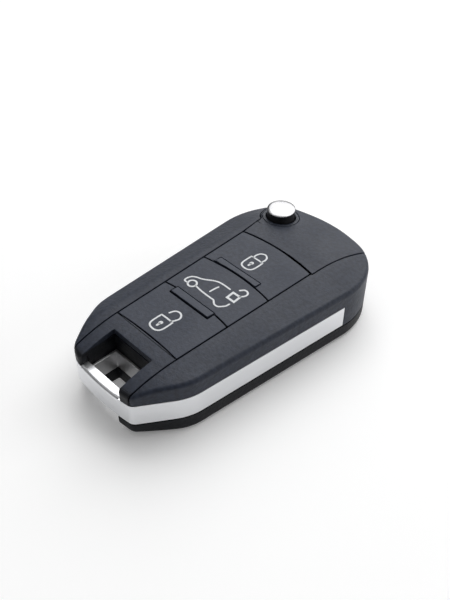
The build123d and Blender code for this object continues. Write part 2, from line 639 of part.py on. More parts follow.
def cell_clip_contact():
    """Sheet metal clip over the wall of the cell's ring, for the coin cell's rim."""
    x, y = cell_centre()
    inner = x + CELL_RADIUS - STACK_GAP
    outer = x + CELL_RADIUS + CELL_RING_WALL + STACK_GAP
    rim = CARRIER_UNDER - CELL_RING_HEIGHT - STACK_GAP
    top = CARRIER_UNDER - STACK_GAP
    half = CONTACT_WIDTH / 2
    ring_inner = disc(x, y, CELL_RADIUS - STACK_GAP, rim, top)
    ring_outer = disc(x, y, CELL_RADIUS + CELL_RING_WALL + STACK_GAP, rim - CONTACT_THICK, top)
    leg_inner = ring_inner - disc(x, y, CELL_RADIUS - STACK_GAP - CONTACT_THICK, 0, FAR)
    leg_outer = disc(x, y, CELL_RADIUS + CELL_RING_WALL + STACK_GAP + CONTACT_THICK, rim, top) - ring_outer
    bridge = disc(x, y, outer - x + CONTACT_THICK, rim - CONTACT_THICK, rim)
    bridge -= disc(x, y, inner - x - CONTACT_THICK, 0, FAR)
    slice_box = block(x - half, x + half, y, FAR, 0, FAR)
    return (leg_inner + leg_outer + bridge) & slice_box


def trim_band():
    """Silver band along the right side and the keyring end, where it is the keyring's bar."""
    whole = prism(outline(), BAND_BOTTOM, BAND_TOP)
    rounded = fillet([e for e in whole.edges() if (e @ 0.5).Z > BAND_TOP - HAIR], BAR_ROUND)
    bar = window_block(0, 0, FAR)
    ring = (whole - bar) + (rounded & bar)
    ring = (ring & band_region()) - inside_band(0, 0, FAR)
    bottom = BAND_TOP - BAND_LIP_HEIGHT
    lip = inside_band(SEAM_GAP, bottom, BAND_TOP + BAND_LIP_HEIGHT)
    lip -= inside_band(SEAM_GAP + BAND_LIP_THICK, 0, FAR)
    foot = inside_band(-BAND_THICK / 2, bottom, BAND_TOP)
    foot -= inside_band(SEAM_GAP + BAND_LIP_THICK, 0, FAR)
    lip = (lip + foot) & band_region(-BAND_LIP_BACK)
    lip -= window_block(CHUTE_WALL + 2 * SEAM_GAP, 0, FAR)
    return ring + lip


def keyring_liner():
    """Metal liner in the lower part of the keyring window."""
    half = WINDOW_HALF - STACK_GAP
    y0 = BAR_INNER_Y + STACK_GAP
    y1 = WINDOW_Y - STACK_GAP
    body = block(-half, half, y0, y1, LINER_BOTTOM, LINER_TOP)
    return body - block(-half + LINER_WALL, half - LINER_WALL, y0 + LINER_WALL, y1 - LINER_WALL, 0, FAR)


def collar_ring():
    """Thin ring round the release button, sitting on the shelf."""
    ring = (disc(PIVOT_X, PIVOT_Y, COLLAR_RADIUS, BAND_TOP, FAR) - UNDER_PLATES) & FORM
    return ring - disc(PIVOT_X, PIVOT_Y, CAP_RADIUS + COLLAR_GAP, 0, FAR)


def release_cap():
    """Domed chrome cap of the release button, with a boss that sits in the plunger."""
    ball = (CAP_RADIUS ** 2 + CAP_DOME ** 2) / (2 * CAP_DOME)
    body = disc(PIVOT_X, PIVOT_Y, CAP_RADIUS, CAP_UNDER, CAP_RIM + CAP_DOME)
    body &= Pos(PIVOT_X, PIVOT_Y, CAP_RIM + CAP_DOME - ball) * Sphere(ball)
    return body + disc(PIVOT_X, PIVOT_Y, CAP_BOSS_RADIUS, CAP_UNDER - CAP_BOSS_DEPTH, CAP_RIM)


def release_plunger():
    """Plunger that carries the cap, bored for the spring, with two lugs for the barrel's slots."""
    body = disc(PIVOT_X, PIVOT_Y, CAP_RADIUS - PLUNGER_INSET, PLUNGER_FOOT, CAP_UNDER - STACK_GAP)
    body -= disc(PIVOT_X, PIVOT_Y, CAP_BOSS_RADIUS + STACK_GAP, CAP_UNDER - CAP_BOSS_DEPTH - STACK_GAP, FAR)
    reach = CAP_RADIUS + LUG_REACH - CAP_GAP
    lugs = block(PIVOT_X - reach, PIVOT_X + reach, PIVOT_Y - LUG_WIDTH / 2, PIVOT_Y + LUG_WIDTH / 2,
                 PLUNGER_FOOT, DECK_UNDER - STACK_GAP)
    body += lugs & disc(PIVOT_X, PIVOT_Y, reach, 0, FAR)
    return body - disc(PIVOT_X, PIVOT_Y, SPRING_RADIUS + SPRING_WIRE / 2 + CAP_GAP, 0, PLUNGER_ROOF)


def flip_spring():
    """Coil spring between the barrel's cup and the plunger, its wire given flats to stay light."""
    bottom = CUP_FLOOR + STACK_GAP
    height = PLUNGER_ROOF - STACK_GAP - bottom - SPRING_WIRE
    path = Helix(pitch=height / SPRING_TURNS, height=height, radius=SPRING_RADIUS)
    section = Plane(origin=path @ 0, z_dir=path % 0) * RegularPolygon(SPRING_WIRE / 2, SPRING_SIDE_COUNT)
    coil = sweep(section, path=path)
    return Pos(PIVOT_X, PIVOT_Y, bottom + SPRING_WIRE / 2) * coil


def blade_barrel():
    """Pivot barrel: journal, two jaws that hold the blade and a cup for the spring."""
    body = disc(PIVOT_X, PIVOT_Y, BARREL_RADIUS, JAW_UNDER, BARREL_TOP)
    body += disc(PIVOT_X, PIVOT_Y, JOURNAL_RADIUS, JAW_UNDER - JOURNAL_LENGTH, JAW_UNDER)
    body -= disc(PIVOT_X, PIVOT_Y, BARREL_CUP_RADIUS, CUP_FLOOR, FAR)
    half = LUG_WIDTH / 2 + CAP_GAP
    slot_bottom = PLUNGER_FOOT - RELEASE_TRAVEL - CAP_GAP
    slot = block(-FAR, FAR, PIVOT_Y - half, PIVOT_Y + half, slot_bottom, FAR)
    body -= slot & disc(PIVOT_X, PIVOT_Y, CAP_RADIUS + LUG_REACH, 0, FAR)
    tang_right = PIVOT_X - BLADE_LEFT + BLADE_WIDTH
    body -= block(-FAR, tang_right, -FAR, PIVOT_Y + TANG_PAST_AXIS, BLADE_UNDER, BLADE_OVER)
    body -= disc(PIVOT_X - PIN_OFF_AXIS, PIVOT_Y, PIN_RADIUS, JAW_UNDER, CUP_FLOOR)
    return body


def blade_plan():
    """Plan of the stowed blade: tang, shoulder and pointed tip."""
    right = PIVOT_X - BLADE_LEFT + BLADE_WIDTH
    left = PIVOT_X - BLADE_LEFT
    tip = PIVOT_Y - BLADE_LENGTH
    shoulder = PIVOT_Y - BLADE_SHOULDER
    root = PIVOT_Y + TANG_PAST_AXIS
    return polygon((right, root), (right - TANG_WIDTH, root), (right - TANG_WIDTH, shoulder),
                   (left, shoulder), (left, tip + BLADE_TIP), (left + BLADE_TIP_CUT, tip), (right - BLADE_TIP_CUT, tip),
                   (right, tip + BLADE_TIP))


def key_blade():
    """Uncut blade with a milled groove along each face, pinned in the barrel."""
    body = prism(blade_plan(), BLADE_UNDER, BLADE_OVER)
    tang = block(-FAR, FAR, PIVOT_Y - BLADE_SHOULDER, FAR, 0, FAR)
    barrel = disc(PIVOT_X, PIVOT_Y, BARREL_RADIUS, 0, FAR)
    body -= tang - barrel - block(-FAR, FAR, -FAR, PIVOT_Y, 0, FAR)
    middle = PIVOT_X - BLADE_LEFT + BLADE_WIDTH / 2
    tip = PIVOT_Y - BLADE_LENGTH
    half = BLADE_GROOVE_WIDTH / 2
    start = tip - BLADE_END_GAP
    end = PIVOT_Y - BARREL_RADIUS - BLADE_GROOVE_END
    body -= block(middle - half, middle + half, start, end, BLADE_OVER - BLADE_GROOVE_DEPTH, FAR)
    body -= block(middle - half, middle + half, start, end, 0, BLADE_UNDER + BLADE_GROOVE_DEPTH)
    return body - disc(PIVOT_X - PIN_OFF_AXIS, PIVOT_Y, PIN_RADIUS, 0, FAR)


def blade_pin():
    """Roll pin through the barrel's jaws and the blade."""
    pin = disc(PIVOT_X - PIN_OFF_AXIS, PIVOT_Y, PIN_RADIUS, JAW_UNDER, CUP_FLOOR)
    return pin - disc(PIVOT_X - PIN_OFF_AXIS, PIVOT_Y, PIN_RADIUS / 2, 0, FAR)


PIECES = {
    "upper_housing": upper_housing,
    "lower_housing": lower_housing,
    "keyring_surround": keyring_surround,
    "head_cap": head_cap,
    "button_lock": button_lock,
    "button_side_door": button_side_door,
    "button_unlock": button_unlock,
    "keypad_mat": keypad_mat,
    "board_carrier": board_carrier,
    "cell_spring_contact": cell_spring_contact,
    "cell_clip_contact": cell_clip_contact,
    "trim_band": trim_band,
    "keyring_liner": keyring_liner,
    "collar_ring": collar_ring,
    "release_cap": release_cap,
    "release_plunger": release_plunger,
    "flip_spring": flip_spring,
    "blade_barrel": blade_barrel,
    "key_blade": key_blade,
    "blade_pin": blade_pin,
}

os.makedirs("parts", exist_ok=True)
for name, make in PIECES.items():
    export_step(make(), "parts/" + name + ".step")
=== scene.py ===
from math import radians

import bpy
import numpy as np
from mathutils import Matrix, Vector


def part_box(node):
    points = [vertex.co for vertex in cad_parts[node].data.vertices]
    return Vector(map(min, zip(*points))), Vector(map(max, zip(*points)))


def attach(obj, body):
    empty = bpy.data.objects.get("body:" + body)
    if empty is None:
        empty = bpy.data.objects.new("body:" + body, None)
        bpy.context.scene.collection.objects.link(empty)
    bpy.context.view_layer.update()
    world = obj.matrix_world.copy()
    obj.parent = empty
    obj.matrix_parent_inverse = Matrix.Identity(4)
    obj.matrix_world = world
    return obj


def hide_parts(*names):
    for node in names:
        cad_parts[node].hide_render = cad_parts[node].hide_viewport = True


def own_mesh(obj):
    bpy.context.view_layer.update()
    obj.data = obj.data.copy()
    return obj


bl_info = {
    "name": "Flip key fob shell",
    "version": (1, 0, 0),
    "blender": (4, 5, 0),
    "location": "View3D > Sidebar > Key fob",
    "description": "Dresses the key fob's pieces, prints its buttons and sets the stage",
    "category": "Object",
}

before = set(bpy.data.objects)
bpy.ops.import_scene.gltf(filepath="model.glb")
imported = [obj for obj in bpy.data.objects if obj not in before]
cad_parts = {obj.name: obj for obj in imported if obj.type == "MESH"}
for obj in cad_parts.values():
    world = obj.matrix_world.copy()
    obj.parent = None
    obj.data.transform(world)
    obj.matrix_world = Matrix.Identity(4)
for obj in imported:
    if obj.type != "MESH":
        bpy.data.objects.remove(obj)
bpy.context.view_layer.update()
MM = 0.001

# Heights in the fob's own frame

BUTTON_TOP = 0.0144                       # flat strip that the buttons lie in
SEAM_SHADE_TOP = BUTTON_TOP - 0.00007     # painted shade: the buttons' sides are darkened below this, for the shade in the seams
WINDOW_SHADE_TOP = 0.0128                 # painted shade: the keyring window's walls are darkened below this, for the shade inside it
SHADE_FADE = 0.0003                       # depth in which that painted shade sets in
SHADE_SHARE = 0.8                         # how dark the painted shade gets, from 0 to 1

# Release button's spring

SPRING_WIRE = 0.0005
SPRING_TURNS = 3

# How sharply a surface turns

FLAT_ANGLE = radians(0.3)       # faces that turn by less are one flat face
ROUNDED_ANGLE = radians(40)     # edges that turn by more get a small round
SHARP_ANGLE = radians(32)       # edges that turn by more are shaded as sharp
WELD_REACH = 0.000001           # corners that lie closer are one corner
EDGE_POINTINESS = (0.52, 0.62)  # Pointiness where an edge starts to show wear, and of a fully worn one

# Noise, whose values lie between 0 and 1 and crowd round the middle

NOISE_SPAN = (0.3, 0.7)         # nearly all of its values
MIDDLE_SPAN = (0.35, 0.65)      # most of them
SCRATCH_SPAN = (0.55, 0.75)     # the few high ones, which become scratches

# Plastic's texture, beside the width and depth of its grain and its plain colour

FINE_GRAIN_SIZE = 0.35
FINE_GRAIN_DEPTH = 0.4
HOLLOW_TONE = 0.78
TOP_TONE = 1.1
TOP_SHARE = 0.75
BUTTON_LIGHTNESS = 1.14     # the buttons' colour beside the case's

# Signs in plan, in millimetres

PADLOCK_BODY = [(-1.75, -0.9), (-1.8, 1.6), (-1.45, 2.0), (1.3, 2.0), (1.7, 1.6), (1.65, -0.9),
                (0.95, -1.85), (-0.1, -2.05), (-1.15, -1.8)]
KEYHOLE_SLOT = [(-0.06, -0.75), (-0.06, -0.1)]
KEYHOLE_TOP = [(-0.08, 0.22), (-0.06, 0.28)]
OPEN_SHACKLE = [(1.17, 1.96), (1.62, 2.86), (1.84, 3.86), (1.34, 4.71), (0.52, 5.08), (-0.33, 4.86),
                (-0.78, 4.31), (-1.04, 3.51)]
SHUT_SHACKLE = [(-1.23, 2.05), (-1.3, 3.0), (-0.95, 4.0), (0.0, 4.55), (0.93, 4.15), (1.37, 3.3),
                (1.31, 2.05)]
UNLOCK_PLACE = (-0.62, -18.46)
LOCK_PLACE = (-0.95, 8.8)
VAN_WHEEL_PLACE = (-5.25, -5.22)
VAN_WHEEL_RADIUS = 1.02
VAN_ROOF = [(-6.35, -5.75), (-7.2, -5.7), (-7.38, -4.85), (-7.04, -3.84), (-6.25, -3.2), (-5.1, -2.8),
            (-4.0, -2.2), (-2.96, -1.45), (-2.1, -0.98), (-1.1, -0.66), (0.3, -0.58), (1.9, -0.61)]
VAN_SILL = [(-4.1, -5.2), (-2.5, -5.42), (-0.8, -5.52), (0.9, -5.55), (1.85, -5.55), (2.45, -6.0),
            (3.1, -6.38), (4.0, -6.3), (4.65, -5.6), (5.1, -4.9), (5.2, -4.05)]
VAN_DOOR = [(-0.62, -4.2), (-0.55, -3.0), (-0.38, -1.9)]
VAN_PADLOCK = [(3.3, -2.85), (3.15, -0.85), (5.25, -0.8), (5.4, -2.85)]
VAN_SHACKLE = [(5.1, -0.8), (5.72, 0.1), (5.75, 0.95), (5.15, 1.5), (4.35, 1.45), (3.7, 0.65)]

# Section of a printed line, as shares of its half width and of its film

INK_SHOULDER = 0.82     # half width of the film's flat top
INK_SUNK = 0.3          # how far the film's sides reach into the button
INK_END_STEPS = 5

# Stage

FLOOR_REACH = 3.0      # from its middle to each side
LAMP_TARGET = (0, 0, 0)
MAIN_LIGHT_PLACE = (-0.35, 0.82, 0.9)
MAIN_LIGHT_SIZE = 1.6
RIM_LIGHT_PLACE = (0.7, 0.7, 0.3)
RIM_LIGHT_SIZE = 0.5
OVERHEAD_LIGHT_PLACE = (-0.3, -0.1, 1.2)
OVERHEAD_LIGHT_SIZE = 1.8
CAMERA_PLACE = (0.09431, -0.09100, 0.13129)
CAMERA_BACKWARDS = (0.5281, -0.5079, 0.6806)
CAMERA_RIGHT = (0.6932, 0.7207, 0)
SENSOR_HEIGHT = 36     # in millimetres, as the lens is


# Finishes

def new_material(name, colour, roughness, metallic=0.0):
    """A material whose shader holds the plain values, with its shader and its object coordinates."""
    material = bpy.data.materials.new(name)
    material.use_nodes = True
    nodes = material.node_tree.nodes
    shader = nodes["Principled BSDF"]
    shader.inputs["Base Color"].default_value = shade(colour)
    shader.inputs["Roughness"].default_value = roughness
    shader.inputs["Metallic"].default_value = metallic
    place = nodes.new("ShaderNodeTexCoord")
    return material, shader, place.outputs["Object"]


def shade(colour, share=1.0):
    """A colour made darker or lighter by one factor, with full alpha, as a socket takes it."""
    return (*(part * share for part in colour), 1)


def feed(material, value, socket):
    """Gives a socket what another socket puts out, or a plain value."""
    if isinstance(value, bpy.types.NodeSocket):
        material.node_tree.links.new(value, socket)
    else:
        socket.default_value = value


def noise(material, place, size, detail=2.0, stretch=(1, 1, 1)):
    """Cloudy noise whose clouds are about size metres across, drawn out along the axes by stretch."""
    tree = material.node_tree
    drawn_out = tree.nodes.new("ShaderNodeMapping")
    drawn_out.inputs["Scale"].default_value = [1 / way for way in stretch]
    cloud = tree.nodes.new("ShaderNodeTexNoise")
    cloud.inputs["Scale"].default_value = 1 / size
    cloud.inputs["Detail"].default_value = detail
    tree.links.new(place, drawn_out.inputs["Vector"])
    tree.links.new(drawn_out.outputs["Vector"], cloud.inputs["Vector"])
    return cloud.outputs["Fac"]


def calculate(material, operation, one, other):
    """The outcome of one operation on two values, each a socket or a plain number."""
    node = material.node_tree.nodes.new("ShaderNodeMath")
    node.operation = operation
    feed(material, one, node.inputs[0])
    feed(material, other, node.inputs[1])
    return node.outputs["Value"]


def remap(material, value, span, to_low=0.0, to_high=1.0):
    """A value carried from one span to another and held between its ends."""
    low, high = span
    node = material.node_tree.nodes.new("ShaderNodeMapRange")
    node.inputs["From Min"].default_value = low
    node.inputs["From Max"].default_value = high
    node.inputs["To Min"].default_value = to_low
    node.inputs["To Max"].default_value = to_high
    feed(material, value, node.inputs["Value"])
    return node.outputs["Result"]


def blend_colours(material, share, one, other):
    """A colour between two others, by share. Each is a socket or a plain colour with full alpha."""
    node = material.node_tree.nodes.new("ShaderNodeMix")
    node.data_type = "RGBA"
    feed(material, one, node.inputs["A"])
    feed(material, other, node.inputs["B"])
    feed(material, share, node.inputs["Factor"])
    return node.outputs["Result"]


def add_bump(material, shader, height, depth, under=None):
    """Relief of depth metres from a height between 0 and 1, over another relief if there is one."""
    node = material.node_tree.nodes.new("ShaderNodeBump")
    node.inputs["Distance"].default_value = depth
    feed(material, height, node.inputs["Height"])
    if under is not None:
        feed(material, under, node.inputs["Normal"])
    feed(material, node.outputs["Normal"], shader.inputs["Normal"])
    return node.outputs["Normal"]


def cloudy_gloss(material, shader, place, roughness, cloud_size):
    """Lets the gloss drift a little round the roughness, in clouds of the given size."""
    cloud = noise(material, place, cloud_size, detail=3.0)
    drift = remap(material, cloud, NOISE_SPAN, roughness - 0.04, roughness + 0.06)
    feed(material, drift, shader.inputs["Roughness"])


def worn_edges(material):
    """How far a place stands out as an edge, from 0 on flat ground to 1 on a sharp edge."""
    shape = material.node_tree.nodes.new("ShaderNodeNewGeometry")
    return remap(material, shape.outputs["Pointiness"], EDGE_POINTINESS)


def painted_recess_shade(material, place, top):
    """How much painted shade a place gets, standing in for the shade in a recess: none at the height top,
    and the full painted shade a little below it.
    """
    height = material.node_tree.nodes.new("ShaderNodeSeparateXYZ")
    feed(material, place, height.inputs["Vector"])
    return remap(material, height.outputs["Z"], (top - SHADE_FADE, top), SHADE_SHARE, 0.0)


def moulded_plastic(name, colour, roughness, grain, depth, wear=0.2, gloss=0.28, painted_shade_below=None):
    """Spark-eroded plastic: mottled grain in relief and tone, cloudy gloss and edges polished a little by
    handling. Below a height given for painted shade, it is darkened towards black, for the shade in
    recesses."""
    material, shader, place = new_material(name, colour, roughness)
    shader.inputs["Specular IOR Level"].default_value = gloss
    mottle = noise(material, place, grain, detail=3.0)
    mottled = remap(material, mottle, MIDDLE_SPAN, to_high=TOP_SHARE)
    light = calculate(material, "MAXIMUM", mottled, worn_edges(material))
    tone = blend_colours(material, light, shade(colour, HOLLOW_TONE), shade(colour, TOP_TONE + wear))
    # painted shade: below the given height the tone is blended towards black, for the shade in recesses and
    # seams
    if painted_shade_below is not None:
        black = shade(colour, 0)
        tone = blend_colours(material, painted_recess_shade(material, place, painted_shade_below), tone, black)
    feed(material, tone, shader.inputs["Base Color"])
    cloudy_gloss(material, shader, place, roughness, cloud_size=0.009)
    coarse = add_bump(material, shader, mottle, depth)
    fine = noise(material, place, grain * FINE_GRAIN_SIZE, detail=1.0)
    add_bump(material, shader, fine, depth * FINE_GRAIN_DEPTH, under=coarse)
    return material


def satin_silver(name, colour, roughness):
    """Satin silver finish: a metal with a very fine flake and faint handling clouds."""
    material, shader, place = new_material(name, colour, roughness, metallic=1.0)
    cloudy_gloss(material, shader, place, roughness, cloud_size=0.006)
    flake = noise(material, place, 0.00012, detail=1.0)
    add_bump(material, shader, flake, depth=0.000002)
    return material


def polished_chrome(name, colour, roughness):
    """Chrome plate: soft mirror, with faint waves under the plate and hairline scratches in its gloss."""
    material, shader, place = new_material(name, colour, roughness, metallic=1.0)
    scratch = noise(material, place, 0.0004, detail=4.0, stretch=(6, 0.5, 1))
    scratched = remap(material, scratch, SCRATCH_SPAN, roughness, roughness + 0.12)
    feed(material, scratched, shader.inputs["Roughness"])
    wave = noise(material, place, 0.002, detail=1.0)
    add_bump(material, shader, wave, depth=0.000004)
    return material


def grained_steel(name, colour, roughness, along, depth):
    """Drawn or brushed metal: grain drawn out along one direction, in relief, gloss and tone."""
    material, shader, place = new_material(name, colour, roughness, metallic=1.0)
    grain = noise(material, place, 0.0002, detail=3.0, stretch=along)
    share = remap(material, grain, NOISE_SPAN)
    tone = blend_colours(material, share, shade(colour, 0.8), shade(colour))
    feed(material, tone, shader.inputs["Base Color"])
    uneven = remap(material, grain, NOISE_SPAN, roughness - 0.06, roughness + 0.08)
    feed(material, uneven, shader.inputs["Roughness"])
    add_bump(material, shader, grain, depth)
    return material


def printed_ink(name, colour):
    """White pad print: matt, a little uneven in cover."""
    material, shader, place = new_material(name, colour, roughness=0.6)
    cover = remap(material, noise(material, place, 0.0003), MIDDLE_SPAN)
    tone = blend_colours(material, cover, shade(colour, 0.86), shade(colour))
    feed(material, tone, shader.inputs["Base Color"])
    return material


def pale_floor(name, colour, glow):
    """Pale floor that keeps shadows, with white added where the camera, a mirror or glass looks at it."""
    material, shader, _ = new_material(name, colour, roughness=0.85)
    shader.inputs["Specular IOR Level"].default_value = 0.1
    tree = material.node_tree
    ray = tree.nodes.new("ShaderNodeLightPath").outputs
    looked_at = calculate(material, "ADD", ray["Is Camera Ray"], ray["Is Glossy Ray"])
    looked_at = calculate(material, "ADD", looked_at, ray["Is Transmission Ray"])
    white = tree.nodes.new("ShaderNodeEmission")
    feed(material, calculate(material, "MULTIPLY", looked_at, glow), white.inputs["Strength"])
    both = tree.nodes.new("ShaderNodeAddShader")
    feed(material, shader.outputs["BSDF"], both.inputs[0])
    feed(material, white.outputs["Emission"], both.inputs[1])
    feed(material, both.outputs["Shader"], tree.nodes["Material Output"].inputs["Surface"])
    return material


# Shapes

def smooth_path(points, closed, steps=8):
    """Points carried through a Catmull-Rom spline: between two points the curve is the cubic whose slope at
    each is half of the way from the point before to the point after."""
    corners = np.asarray(points, float)
    if closed:
        around = np.vstack([corners[-1:], corners, corners[:2]])
    else:
        around = np.vstack([2 * corners[:1] - corners[1:2], corners, 2 * corners[-1:] - corners[-2:-1]])
    before, start, end, after = around[:-3], around[1:-2], around[2:-1], around[3:]
    t = np.linspace(0, 1, steps, endpoint=False)[None, :, None]
    one, two, three, four = (part[:, None, :] for part in (before, start, end, after))
    curve = 0.5 * (2 * two + (three - one) * t + (2 * one - 5 * two + 4 * three - four) * t ** 2
                   + (3 * two - one - 3 * three + four) * t ** 3)
    curve = curve.reshape(-1, corners.shape[1])
    return curve if closed else np.vstack([curve, corners[-1:]])


def printed_line(points, closed, width, film, smooth):
    """Grid of places on a printed line: a low four-sided section, width across and film high, is carried
    along the path, and at an open end its width shrinks as a circle does. All in millimetres."""
    path = smooth_path(points, closed) if smooth else np.asarray(points, float)
    half = width / 2
    share = np.ones(len(path))
    if closed:
        along = np.roll(path, -1, 0) - np.roll(path, 1, 0)
    else:
        along = np.gradient(path, axis=0)
    along /= np.linalg.norm(along, axis=1)[:, None]
    if not closed:
        turn = np.linspace(0, np.pi / 2, INK_END_STEPS + 1)[1:]
        first = path[0] - along[0] * half * np.sin(turn[::-1])[:, None]
        last = path[-1] + along[-1] * half * np.sin(turn)[:, None]
        path = np.vstack([first, path, last])
        first_along = np.repeat(along[:1], INK_END_STEPS, 0)
        last_along = np.repeat(along[-1:], INK_END_STEPS, 0)
        along = np.vstack([first_along, along, last_along])
        share = np.concatenate([np.cos(turn[::-1]), share, np.cos(turn)])
    across = np.stack([-along[:, 1], along[:, 0]], 1)
    side = np.array([-1.0, -INK_SHOULDER, INK_SHOULDER, 1.0]) * half
    height = np.array([-INK_SUNK, 1.0, 1.0, -INK_SUNK]) * film
    offset = side[None, :] * share[:, None]
    grid = np.empty((len(path), len(side), 3))
    grid[:, :, :2] = path[:, None, :] + across[:, None, :] * offset[:, :, None]
    grid[:, :, 2] = height[None, :]
    return grid


def wire_coil(centre, radius, bottom, top, wire, turns, steps=36, sides=12):
    """Grid of places on a coil spring: the wire's centre goes round at the radius while it climbs evenly
    from bottom to top, and a circle of the wire's size stands square to it at each place."""
    turn = np.linspace(0, 2 * np.pi * turns, turns * steps + 1)
    climb = (top - bottom - wire) / turn[-1]
    outwards = np.stack([np.cos(turn), np.sin(turn), np.zeros_like(turn)], 1)
    middle = np.array([*centre, bottom + wire / 2]) + outwards * radius + np.outer(climb * turn, (0, 0, 1))
    along = np.stack([-np.sin(turn) * radius, np.cos(turn) * radius, np.full_like(turn, climb)], 1)
    upwards = np.cross(outwards, along)
    upwards /= np.linalg.norm(upwards, axis=1)[:, None]
    angle = np.linspace(0, 2 * np.pi, sides, endpoint=False)[None, :, None]
    circle = np.cos(angle) * outwards[:, None] + np.sin(angle) * upwards[:, None]
    return middle[:, None] + wire / 2 * circle


def grid_faces(rows, columns, closed, first):
    """Faces between the rows of a grid whose columns close on themselves, with its corners counted from
    first. A closed grid's last row joins its first, and an open grid gets a face over each end."""
    row = np.arange(rows if closed else rows - 1)[:, None]
    column = np.arange(columns)[None, :]
    after = (row + 1) % rows
    beside = (column + 1) % columns
    corners = (row * columns + column, after * columns + column,
               after * columns + beside, row * columns + beside)
    between = np.stack(np.broadcast_arrays(*corners), 2).reshape(-1, 4) + first
    if closed:
        return between.tolist()
    start = np.arange(columns)[::-1] + first
    end = np.arange(columns) + (rows - 1) * columns + first
    return [*between.tolist(), start.tolist(), end.tolist()]


def new_piece(name, grids, material, body):
    """A mesh piece on a body, from grids of places in metres. Each comes with whether its rows close."""
    places, faces, count = [], [], 0
    for grid, closed in grids:
        rows, columns = grid.shape[:2]
        places.append(grid.reshape(-1, 3))
        faces += grid_faces(rows, columns, closed, count)
        count += rows * columns
    mesh = bpy.data.meshes.new(name)
    mesh.from_pydata(np.vstack(places).tolist(), [], faces)
    mesh.update()
    mesh.materials.append(material)
    piece = bpy.data.objects.new(name, mesh)
    bpy.context.scene.collection.objects.link(piece)
    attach(piece, body)
    return piece


def soft_shading():
    """Node group that shades a surface smooth and keeps it sharp only where it turns by a set angle."""
    group = bpy.data.node_groups.get("soft shading")
    if group:
        return group
    group = bpy.data.node_groups.new("soft shading", "GeometryNodeTree")
    group.interface.new_socket("Geometry", in_out="INPUT", socket_type="NodeSocketGeometry")
    group.interface.new_socket("Geometry", in_out="OUTPUT", socket_type="NodeSocketGeometry")
    start = group.nodes.new("NodeGroupInput")
    end = group.nodes.new("NodeGroupOutput")
    angle = group.nodes.new("GeometryNodeInputMeshEdgeAngle")
    sharp = group.nodes.new("FunctionNodeCompare")
    sharp.data_type = "FLOAT"
    sharp.operation = "GREATER_THAN"
    sharp.inputs["B"].default_value = SHARP_ANGLE
    faces = group.nodes.new("GeometryNodeSetShadeSmooth")
    faces.domain = "FACE"
    edges = group.nodes.new("GeometryNodeSetShadeSmooth")
    edges.domain = "EDGE"
    edges.inputs["Shade Smooth"].default_value = False
    group.links.new(angle.outputs["Unsigned Angle"], sharp.inputs["A"])
    group.links.new(start.outputs["Geometry"], faces.inputs["Geometry"])
    group.links.new(faces.outputs["Geometry"], edges.inputs["Geometry"])
    group.links.new(sharp.outputs["Result"], edges.inputs["Selection"])
    group.links.new(edges.outputs["Geometry"], end.inputs["Geometry"])
    return group


def finish_node(node, material, edge, held=False):
    """Gives a frame node its finish, rounds its sharp edges by edge metres and shades it smoothly. On a
    piece with narrow points the rounds are held back, so that they don't run into each other."""
    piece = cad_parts[node]
    piece.data.materials.clear()
    piece.data.materials.append(material)
    weld = piece.modifiers.new("joined corners", "WELD")
    weld.merge_threshold = WELD_REACH
    if edge:
        flat = piece.modifiers.new("flat faces", "DECIMATE")
        flat.decimate_type = "DISSOLVE"
        flat.angle_limit = FLAT_ANGLE
        bevel = piece.modifiers.new("rounded edges", "BEVEL")
        bevel.width = edge
        bevel.segments = 2
        bevel.limit_method = "ANGLE"
        bevel.angle_limit = ROUNDED_ANGLE
        bevel.use_clamp_overlap = held
        bevel.miter_outer = "MITER_ARC"
    soft = piece.modifiers.new("soft shading", "NODES")
    soft.node_group = soft_shading()
    if edge:
        even = piece.modifiers.new("even shading", "WEIGHTED_NORMAL")
        even.keep_sharp = True


# Signs

def stroke(points, closed=False, wide=1.0, smooth=True):
    """One line of a sign: its points, whether it closes, its width as a share of the usual one, and whether
    it runs smoothly through its points."""
    return points, closed, wide, smooth


def padlock(place, shackle):
    """Padlock with a keyhole, round a place on the fob."""
    body, slot, top, bow = (np.array(part) + place
                            for part in (PADLOCK_BODY, KEYHOLE_SLOT, KEYHOLE_TOP, shackle))
    return [stroke(body, closed=True), stroke(slot, wide=1.3, smooth=False),
            stroke(top, wide=2.3, smooth=False), stroke(bow)]


def van():
    """Van from the side, with a small open padlock at its tail."""
    turn = np.linspace(0, 2 * np.pi, 12, endpoint=False)
    wheel = np.stack([np.cos(turn), np.sin(turn)], 1) * VAN_WHEEL_RADIUS + VAN_WHEEL_PLACE
    return [stroke(wheel, closed=True, wide=1.1), stroke(VAN_ROOF), stroke(VAN_SILL), stroke(VAN_DOOR),
            stroke(VAN_SHACKLE, wide=1.1), stroke(VAN_PADLOCK, closed=True, wide=1.9, smooth=False)]


def print_sign(name, strokes, body, ink, width, film):
    """Prints a sign's strokes on the button that moves as body."""
    grids = []
    for points, closed, wide, smooth in strokes:
        grid = printed_line(points, closed, width / MM * wide, film / MM, smooth)
        grids.append((grid * MM + [0, 0, BUTTON_TOP], closed))
    new_piece(name, grids, ink, body)


# Stage

def area_light(name, place, size, power):
    """A square soft light that faces the fob."""
    light = bpy.data.lights.new(name, "AREA")
    light.shape = "SQUARE"
    light.size = size
    light.energy = power
    lamp = bpy.data.objects.new(name, light)
    bpy.context.scene.collection.objects.link(lamp)
    lamp.location = place
    lamp.rotation_euler = (Vector(LAMP_TARGET) - Vector(place)).to_track_quat("-Z", "Y").to_euler()


def floor(material):
    """A square floor, at the height that the fob lies on."""
    mesh = bpy.data.meshes.new("floor")
    corners = [(x * FLOOR_REACH, y * FLOOR_REACH, 0) for x, y in ((-1, -1), (1, -1), (1, 1), (-1, 1))]
    mesh.from_pydata(corners, [], [(0, 1, 2, 3)])
    mesh.materials.append(material)
    plane = bpy.data.objects.new("floor", mesh)
    bpy.context.scene.collection.objects.link(plane)


